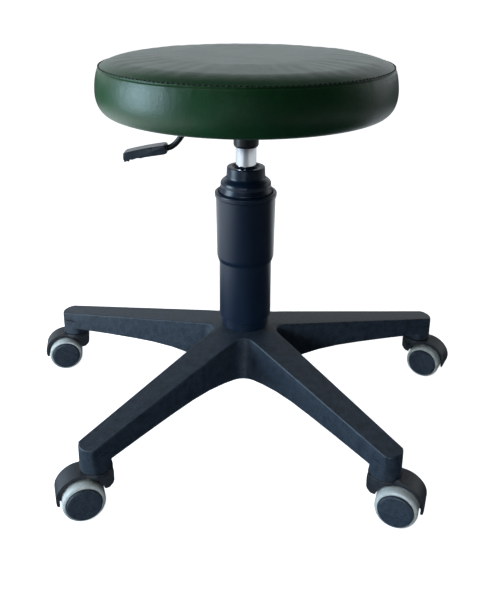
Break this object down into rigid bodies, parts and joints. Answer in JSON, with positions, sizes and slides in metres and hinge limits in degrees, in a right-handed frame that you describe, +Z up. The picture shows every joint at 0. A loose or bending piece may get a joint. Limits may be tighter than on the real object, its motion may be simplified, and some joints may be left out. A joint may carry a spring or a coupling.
{
  "type": "dentist stool",
  "caption": "Height-adjustable round stool: padded vinyl seat on a gas lift with a release lever, telescopic cover, arched star base and twin-wheel swivel castors",
  "frame": {"origin": "On the floor under the castors, on the axis of the gas lift.", "axes": "+Z is up. The release lever points to -X. One arm of the base, with castor 2, points to +Y, and the view of the picture is from -Y."},
  "size_m": [0.6462, 0.6033, 0.506],
  "materials": {
    "base_nylon": "moulded glass-filled nylon, black, coarse matt texture",
    "castor_nylon": "moulded nylon, black, fine matt texture",
    "cover_plastic": "moulded polypropylene, black, smooth satin",
    "black_steel": "pressed steel with black powder coat",
    "steel": "zinc-plated steel",
    "chrome": "hard chrome, polished",
    "tyre_grey": "soft polyurethane tread, light grey, matt",
    "disc_plastic": "moulded nylon, dark slate, satin",
    "grip_plastic": "moulded plastic, black, satin",
    "vinyl_green": "vinyl-coated upholstery fabric, bottle green, fine leather grain, semi-gloss",
    "plywood": "bare birch plywood",
    "felt": "black spun-bonded dust cloth"
  },
  "bodies": {
    "base": {"star_base": "base_nylon", "stand_tube": "black_steel", "guide_bush": "cover_plastic", "thrust_washer": "steel", "lower_sleeve": "cover_plastic"},
    "cover": {"upper_sleeve": "cover_plastic", "sleeve_cap": "cover_plastic"},
    "lift_rod": {"piston_rod": "steel", "retaining_clip": "steel"},
    "seat": {"pressure_tube": "chrome", "lift_socket": "black_steel", "lift_bracket": "black_steel", "seat_plate": "black_steel", "lever_pin": "steel", "plate_screw_1": "steel", "plate_screw_2": "steel", "plate_screw_3": "steel", "plate_screw_4": "steel", "seat_board": "plywood", "dust_cover": "felt", "seat_cushion": "vinyl_green"},
    "lever": {"lever_tongue": "black_steel", "lever_rod": "black_steel", "lever_grip": "grip_plastic"},
    "release": {"release_pin": "steel"},
    "castor_1": {"castor_1_hood": "castor_nylon", "castor_1_stem": "steel", "castor_1_axle": "steel"},
    "castor_1_roller_a": {"castor_1_wheel_a": "disc_plastic", "castor_1_tyre_a": "tyre_grey"},
    "castor_1_roller_b": {"castor_1_wheel_b": "disc_plastic", "castor_1_tyre_b": "tyre_grey"},
    "castor_2": {"castor_2_hood": "castor_nylon", "castor_2_stem": "steel", "castor_2_axle": "steel"},
    "castor_2_roller_a": {"castor_2_wheel_a": "disc_plastic", "castor_2_tyre_a": "tyre_grey"},
    "castor_2_roller_b": {"castor_2_wheel_b": "disc_plastic", "castor_2_tyre_b": "tyre_grey"},
    "castor_3": {"castor_3_hood": "castor_nylon", "castor_3_stem": "steel", "castor_3_axle": "steel"},
    "castor_3_roller_a": {"castor_3_wheel_a": "disc_plastic", "castor_3_tyre_a": "tyre_grey"},
    "castor_3_roller_b": {"castor_3_wheel_b": "disc_plastic", "castor_3_tyre_b": "tyre_grey"},
    "castor_4": {"castor_4_hood": "castor_nylon", "castor_4_stem": "steel", "castor_4_axle": "steel"},
    "castor_4_roller_a": {"castor_4_wheel_a": "disc_plastic", "castor_4_tyre_a": "tyre_grey"},
    "castor_4_roller_b": {"castor_4_wheel_b": "disc_plastic", "castor_4_tyre_b": "tyre_grey"},
    "castor_5": {"castor_5_hood": "castor_nylon", "castor_5_stem": "steel", "castor_5_axle": "steel"},
    "castor_5_roller_a": {"castor_5_wheel_a": "disc_plastic", "castor_5_tyre_a": "tyre_grey"},
    "castor_5_roller_b": {"castor_5_wheel_b": "disc_plastic", "castor_5_tyre_b": "tyre_grey"}
  },
  "joints": [
    {"name": "cover_slide", "type": "slide", "parent": "base", "child": "cover", "axis": [0, 0, 1], "range_m": [0, 0.025]},
    {"name": "seat_swivel", "type": "hinge", "parent": "base", "child": "lift_rod", "pos_m": [0, 0, 0], "axis": [0, 0, 1], "continuous": true},
    {"name": "seat_lift", "type": "slide", "parent": "lift_rod", "child": "seat", "axis": [0, 0, 1], "range_m": [0, 0.12]},
    {"name": "lever_pull", "type": "hinge", "parent": "seat", "child": "lever", "pos_m": [-0.024, 0, 0.4241], "axis": [0, 1, 0], "range_deg": [0, 9], "stiffness_Nm_per_rad": 1.5, "springref_deg": -5.73},
    {"name": "valve_press", "type": "slide", "parent": "seat", "child": "release", "axis": [0, 0, 1], "range_m": [-0.0038, 0]},
    {"name": "castor_1_swivel", "type": "hinge", "parent": "base", "child": "castor_1", "pos_m": [0.272, 0.08838, 0], "axis": [0, 0, 1], "continuous": true},
    {"name": "castor_1_roll_a", "type": "hinge", "parent": "castor_1", "child": "castor_1_roller_a", "pos_m": [0.28805, 0.07959, 0.025], "axis": [0.4802, 0.8771, 0], "continuous": true},
    {"name": "castor_1_roll_b", "type": "hinge", "parent": "castor_1", "child": "castor_1_roller_b", "pos_m": [0.28805, 0.07959, 0.025], "axis": [0.4802, 0.8771, 0], "continuous": true},
    {"name": "castor_2_swivel", "type": "hinge", "parent": "base", "child": "castor_2", "pos_m": [0, 0.286, 0], "axis": [0, 0, 1], "continuous": true},
    {"name": "castor_2_roll_a", "type": "hinge", "parent": "castor_2", "child": "castor_2_roller_a", "pos_m": [0.00915, 0.30185, 0.025], "axis": [-0.866, 0.5, 0], "continuous": true},
    {"name": "castor_2_roll_b", "type": "hinge", "parent": "castor_2", "child": "castor_2_roller_b", "pos_m": [0.00915, 0.30185, 0.025], "axis": [-0.866, 0.5, 0], "continuous": true},
    {"name": "castor_3_swivel", "type": "hinge", "parent": "base", "child": "castor_3", "pos_m": [-0.272, 0.08838, 0], "axis": [0, 0, 1], "continuous": true},
    {"name": "castor_3_roll_a", "type": "hinge", "parent": "castor_3", "child": "castor_3_roller_a", "pos_m": [-0.28983, 0.08426, 0.025], "axis": [0.225, -0.9744, 0], "continuous": true},
    {"name": "castor_3_roll_b", "type": "hinge", "parent": "castor_3", "child": "castor_3_roller_b", "pos_m": [-0.28983, 0.08426, 0.025], "axis": [0.225, -0.9744, 0], "continuous": true},
    {"name": "castor_4_swivel", "type": "hinge", "parent": "base", "child": "castor_4", "pos_m": [-0.16811, -0.23138, 0], "axis": [0, 0, 1], "continuous": true},
    {"name": "castor_4_roll_a", "type": "hinge", "parent": "castor_4", "child": "castor_4_roller_a", "pos_m": [-0.1853, -0.23764, 0.025], "axis": [0.342, -0.9397, 0], "continuous": true},
    {"name": "castor_4_roll_b", "type": "hinge", "parent": "castor_4", "child": "castor_4_roller_b", "pos_m": [-0.1853, -0.23764, 0.025], "axis": [0.342, -0.9397, 0], "continuous": true},
    {"name": "castor_5_swivel", "type": "hinge", "parent": "base", "child": "castor_5", "pos_m": [0.16811, -0.23138, 0], "axis": [0, 0, 1], "continuous": true},
    {"name": "castor_5_roll_a", "type": "hinge", "parent": "castor_5", "child": "castor_5_roller_a", "pos_m": [0.18541, -0.23734, 0.025], "axis": [0.3256, 0.9455, 0], "continuous": true},
    {"name": "castor_5_roll_b", "type": "hinge", "parent": "castor_5", "child": "castor_5_roller_b", "pos_m": [0.18541, -0.23734, 0.025], "axis": [0.3256, 0.9455, 0], "continuous": true}
  ],
  "couplings": [
    {"joint": "valve_press", "follows": "lever_pull", "m_per_rad": -0.024}
  ]
}
